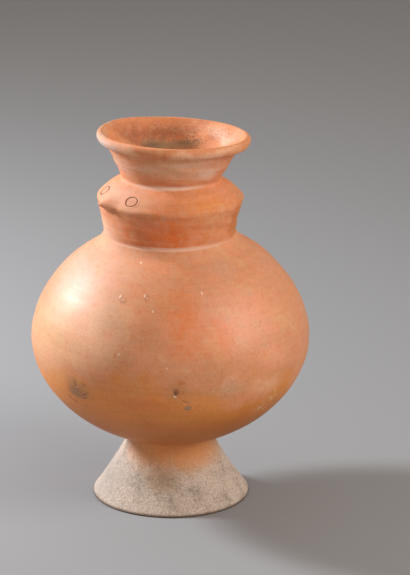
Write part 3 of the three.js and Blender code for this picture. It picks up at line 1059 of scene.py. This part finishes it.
class VASE_OT_dome(Operator):
    """Adds the domed upper half of the globe"""

    bl_idname = "vase.dome"
    bl_label = "Dome"

    def execute(self, context):
        vase = context.scene.vase
        globe = vase.globe
        outer_seam, inner_seam = globe_seam(globe)
        opening = vase.collar.radius - globe.wall
        skin = globe_arc(globe, low=outer_seam, high=globe_height(globe, opening))
        inside = globe_arc(globe, globe.wall, inner_seam, globe_height(globe, opening, globe.wall))[::-1]
        surface = band(GLOBE_COLUMNS, evenly(skin, 1.4 * MM), evenly(inside, 5 * MM))
        surface.rub(GLOBE_BURNISH, sunk=0.1 * MM)
        add_turned(vase, "shoulder_dome", surface, burnished_clay)
        return {"FINISHED"}


class VASE_OT_collar_wall(Operator):
    """Adds the lower band of the collar"""

    bl_idname = "vase.collar_wall"
    bl_label = "Collar Wall"

    def execute(self, context):
        vase = context.scene.vase
        collar = vase.collar
        inner = collar_seam(vase)[1]
        foot = collar_foot(vase, collar.radius - vase.globe.wall)
        inside = bend(inner, (collar.flare[0] - vase.globe.wall, collar.flare[1]), foot)
        surface = band(HEAD_COLUMNS, evenly(collar_wall_skin(vase), 0.6 * MM), evenly(inside, 5 * MM))
        surface.rub(COLLAR_BURNISH)
        add_turned(vase, "collar_wall", surface, collar_clay)
        return {"FINISHED"}


def press_eyes(surface, face):
    """Presses both eyes: with q the distance from the eye's middle as a share of its oval, a groove lies
    at q = 1, the clay pushed aside stands beyond it on the lower right, and slanting lines score the oval
    inside. The grooves and scored lines are darkened as incised lines, and the near eye's groove more on
    its upper left, as painted shade."""
    half_width, half_height = face.eye_half
    mean_half = (half_width + half_height) / 2
    line_step = 3 * MM
    for side in (-1, 1):
        u, v = surface.flat(side * face.eye_azimuth, face.eye_height)
        q = np.hypot(u / half_width, v / half_height)
        groove = np.exp(-(((q - 1) * mean_half / (0.55 * face.eye_groove)) ** 2))
        pushed = np.exp(-(((q - 1.28) / 0.16) ** 2))
        upper_left = 0.5 - 0.5 * (u - v) / (np.hypot(u, v) * math.sqrt(2) + MM)
        surface.lift(-face.eye_depth * groove + 0.3 * MM * pushed * (1 - upper_left) ** 2)
        lines = 0.5 + 0.5 * np.cos(TAU * (v - 0.7 * u) / line_step)
        scored = np.clip(3 * (0.9 - q), 0, 1) * lines
        surface.lift(-0.12 * MM * scored)
        # Dark incised line in each groove, with painted shade on the near eye's upper left, the side turned
        # from the light
        dark_line_and_shade = 0.45 + 0.5 * upper_left if side > 0 else 0.9
        surface.tint += surface.relief * (groove * dark_line_and_shade + 0.08 * scored)


class VASE_OT_collar_top(Operator):
    """Adds the upper band of the collar, with the two eyes pressed into it"""

    bl_idname = "vase.collar_top"
    bl_label = "Collar Top"

    def execute(self, context):
        vase = context.scene.vase
        inner = collar_seam(vase)[1]
        inside = bend(throat_inside(vase), (inner[0] - 2 * MM, inner[1] + 8 * MM), inner)
        surface = band(HEAD_COLUMNS, evenly(collar_top_skin(vase), 0.4 * MM), evenly(inside, 5 * MM))
        surface.rub(COLLAR_BURNISH)
        press_eyes(surface, vase.face)
        add_turned(vase, "collar_top", surface, collar_clay)
        return {"FINISHED"}


class VASE_OT_beak(Operator):
    """Adds the pinched beak"""

    bl_idname = "vase.beak"
    bl_label = "Beak"

    def execute(self, context):
        vase = context.scene.vase
        face = vase.face
        rings, count = 60, 144
        share = np.linspace(0, 1, rings + 1)[1:, None]
        turn = np.linspace(0, TAU, count, endpoint=False)[None, :]
        skin = np.vstack([collar_wall_skin(vase), collar_top_skin(vase)[1:]])
        across = share * face.beak_half[0] * np.cos(turn)
        root = face.beak_height + share * face.beak_half[1] * np.sin(turn)
        blunt = 0.035
        reach = (np.sqrt(share**2 + blunt**2) - blunt) / (math.sqrt(1 + blunt**2) - blunt)
        stand = face.beak_length * (1 - reach) ** face.beak_curve - 0.03 * MM * share
        sunk = 2.6 * MM

        def pad(stand, rise):
            """Points at a distance off the collar's skin."""
            azimuth = across / vase.collar.ridge[0]
            relief = burnish(azimuth, root, COLLAR_BURNISH)
            radius = radius_on(skin, root) + relief + stand
            z = root + rise * stand
            return np.stack([radius * np.sin(azimuth), -radius * np.cos(azimuth), z], axis=-1)

        front = pad(stand, face.beak_rise / face.beak_length)
        back = pad(-sunk, 0)[::-1]
        rows = np.vstack([front, back])
        tip, heel = front[0].mean(axis=0), back[-1].mean(axis=0)
        points = np.vstack([rows.reshape(-1, 3), tip, heel])
        quads, fans = grid_faces(len(rows), count, False, True)
        mesh = new_mesh("beak", uneven(lean(points, vase.neck.height)), quads[:, ::-1], fans[:, ::-1])
        add_piece("beak", mesh, collar_clay(vase.clay))
        return {"FINISHED"}


def foot_coil(vase):
    """Roll inside the foot, in the corner under the bowl."""
    leg = 6 * MM
    bore = foot_bore(vase)
    corner = bore[0]
    inner = (corner[0] - leg, globe_height(vase.globe, corner[0] - leg, under=True))
    low = (radius_on(bore, corner[1] - leg), corner[1] - leg)
    hollow = (corner[0] - leg / 4, corner[1] - leg / 3)
    skin = evenly(bend(inner, hollow, low), 0.8 * MM)
    return Turned(FOOT_COLUMNS[::2], (straight(low, corner, inner), 0.0), (skin, 0.0))


def corner_roll(toe, hollow, top, corner):
    """A hollow fillet from its toe to its top, with its back in the corner."""
    skin = evenly(bend(toe, hollow, top), 0.35 * MM)
    return Turned(HEAD_COLUMNS, (skin, 1.0), (straight(top, corner, toe), 0.0))


def collar_coil(vase):
    """Roll in the corner between the dome and the collar, drawn out over the dome."""
    reach, climb = 11 * MM, 6.6 * MM
    corner = collar_foot(vase, vase.collar.radius)
    toe = collar_foot(vase, vase.collar.radius + reach)
    hollow = (corner[0] + 4.7 * MM, corner[1] - 2.1 * MM)
    top = (radius_on(collar_wall_skin(vase), corner[1] + climb), corner[1] + climb)
    surface = corner_roll(toe, hollow, top, corner)
    surface.rub(GLOBE_BURNISH, sunk=0.08 * MM)
    return surface


def neck_coil(vase):
    """Small roll in the corner between the collar and the neck."""
    leg = 2.8 * MM
    corner = tuple(vase.collar.throat)
    toe = (corner[0] + leg, height_on(collar_shoulder(vase), corner[0] + leg))
    top = (radius_on(neck_skin(vase), corner[1] + leg), corner[1] + leg)
    surface = corner_roll(toe, corner, top, corner)
    surface.rub(COLLAR_BURNISH, sunk=-0.05 * MM)
    return surface


class VASE_OT_luting_coils(Operator):
    """Adds the three rolls of clay smoothed into the joints"""

    bl_idname = "vase.luting_coils"
    bl_label = "Luting Coils"

    def execute(self, context):
        vase = context.scene.vase
        add_turned(vase, "foot_luting_coil", foot_coil(vase), bare_clay)
        add_turned(vase, "collar_luting_coil", collar_coil(vase), burnished_clay)
        add_turned(vase, "neck_luting_coil", neck_coil(vase), collar_clay)
        return {"FINISHED"}


class VASE_OT_neck(Operator):
    """Adds the flared neck"""

    bl_idname = "vase.neck"
    bl_label = "Neck"

    def execute(self, context):
        vase = context.scene.vase
        skin = evenly(neck_skin(vase), 0.6 * MM)
        inside = evenly(neck_inside(vase), 0.8 * MM)
        surface = band(HEAD_COLUMNS, skin, inside, over=[tuple(vase.neck.tongue)], relief=0.6)
        surface.rub(NECK_BURNISH)
        add_turned(vase, "neck_funnel", surface, collar_clay)
        return {"FINISHED"}


class VASE_OT_rim(Operator):
    """Adds the rolled rim"""

    bl_idname = "vase.rim"
    bl_label = "Rim"

    def execute(self, context):
        vase = context.scene.vase
        neck = vase.neck
        foot, equator, edge = tuple(neck.lip_foot), tuple(neck.lip_equator), tuple(neck.mouth_edge)
        crest = (neck.lip_crest, neck.height)
        under = bend(foot, (equator[0] - 1.4 * MM, foot[1] - 0.4 * MM), equator)
        over = bend(equator, (equator[0] + 0.5 * MM, neck.height - 0.2 * MM), crest)
        brow = bend(crest, (edge[0] + 0.4 * MM, neck.height), edge)
        inner = tongue_inside(vase)
        inside = bend(edge, (edge[0] - 2.1 * MM, edge[1] - 2.6 * MM), inner)
        skin = evenly(np.vstack([under, over[1:], brow[1:], inside[1:]]), 0.45 * MM)
        surface = Turned(
            HEAD_COLUMNS,
            (skin, 1.0),
            (straight(inner, tuple(neck.tongue), foot), 0.0),
        )
        surface.rub(COLLAR_BURNISH, sunk=0.1 * MM)
        add_turned(vase, "rim_coil", surface, collar_clay)
        return {"FINISHED"}


def area_light(name, azimuth, elevation, distance, size, power, colour):
    """Square soft light that faces the vase, from an azimuth and an elevation in degrees."""
    aim = np.array([0, 0, 0.2])
    turn, rise = math.radians(azimuth), math.radians(elevation)
    back = np.array([math.sin(turn) * math.cos(rise), -math.cos(turn) * math.cos(rise), math.sin(rise)])
    light = bpy.data.lights.new(name, "AREA")
    light.shape = "SQUARE"
    light.size = size
    light.energy = power
    light.color = colour
    lamp = bpy.data.objects.new(name, light)
    lamp.location = aim + distance * back
    lamp.rotation_euler = (math.pi / 2 - rise, 0, turn)
    bpy.context.scene.collection.objects.link(lamp)


class VASE_OT_stage(Operator):
    """Adds the floor, the lights and the camera"""

    bl_idname = "vase.stage"
    bl_label = "Stage"

    def execute(self, context):
        stage = context.scene.vase.stage
        half = 12.0
        corners = np.array([[-half, -half, 0], [half, -half, 0], [half, half, 0], [-half, half, 0]])
        mesh = new_mesh("floor", corners, np.array([[0, 1, 2, 3]]), np.empty((0, 3), int))
        material = bpy.data.materials.new("floor")
        material.use_nodes = True
        shader = material.node_tree.nodes["Principled BSDF"]
        shader.inputs["Base Color"].default_value = (*stage.floor, 1)
        shader.inputs["Roughness"].default_value = 0.8
        mesh.materials.append(material)
        floor = bpy.data.objects.new("floor", mesh)
        context.scene.collection.objects.link(floor)

        area_light("key", -54, 26.5, distance=1.6, size=0.3, power=38.5, colour=(0.97, 0.985, 1.0))
        area_light("fill", 120, 30, distance=1.8, size=0.9, power=21, colour=(1.0, 0.94, 0.86))
        area_light("front", 40, 3, distance=2.2, size=1.2, power=5, colour=(1.0, 0.87, 0.7))

        world = bpy.data.worlds.new("studio")
        world.use_nodes = True
        world.node_tree.nodes["Background"].inputs["Color"].default_value = (0.54, 0.45, 0.37, 1)
        world.node_tree.nodes["Background"].inputs["Strength"].default_value = 0.8
        context.scene.world = world
        context.scene.view_settings.view_transform = "Standard"

        camera = bpy.data.cameras.new("camera")
        camera.sensor_width = 36
        camera.lens = FOCAL_PIXELS / IMAGE_HEIGHT * camera.sensor_width
        holder = bpy.data.objects.new("camera", camera)
        holder.location = stage.camera_place
        holder.rotation_euler = stage.camera_turn
        context.scene.collection.objects.link(holder)
        context.scene.camera = holder
        return {"FINISHED"}


OPERATORS = (
    VASE_OT_stage,
    VASE_OT_foot,
    VASE_OT_bowl,
    VASE_OT_dome,
    VASE_OT_collar_wall,
    VASE_OT_collar_top,
    VASE_OT_beak,
    VASE_OT_luting_coils,
    VASE_OT_neck,
    VASE_OT_rim,
)


class VASE_PT_panel(Panel):
    """Lists the vase's pieces and its stage"""

    bl_idname = "VASE_PT_panel"
    bl_label = "Vase"
    bl_space_type = "VIEW_3D"
    bl_region_type = "UI"
    bl_category = "Vase"

    def draw(self, context):
        for operator in OPERATORS:
            self.layout.operator(operator.bl_idname)


CLASSES = (
    FootSizes,
    GlobeSizes,
    CollarSizes,
    NeckSizes,
    FaceSizes,
    ClayColours,
    StageLook,
    VaseSettings,
    *OPERATORS,
    VASE_PT_panel,
)


def register():
    """Registers the classes and hangs the settings on the scene."""
    for kind in CLASSES:
        bpy.utils.register_class(kind)
    bpy.types.Scene.vase = PointerProperty(type=VaseSettings)


def unregister():
    """Takes the settings and the classes away again."""
    del bpy.types.Scene.vase
    for kind in reversed(CLASSES):
        bpy.utils.unregister_class(kind)


def main():
    """Registers the add-on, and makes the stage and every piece."""
    register()
    for operator in OPERATORS:
        group, action = operator.bl_idname.split(".")
        getattr(getattr(bpy.ops, group), action)()


if __name__ == "__main__":
    main()
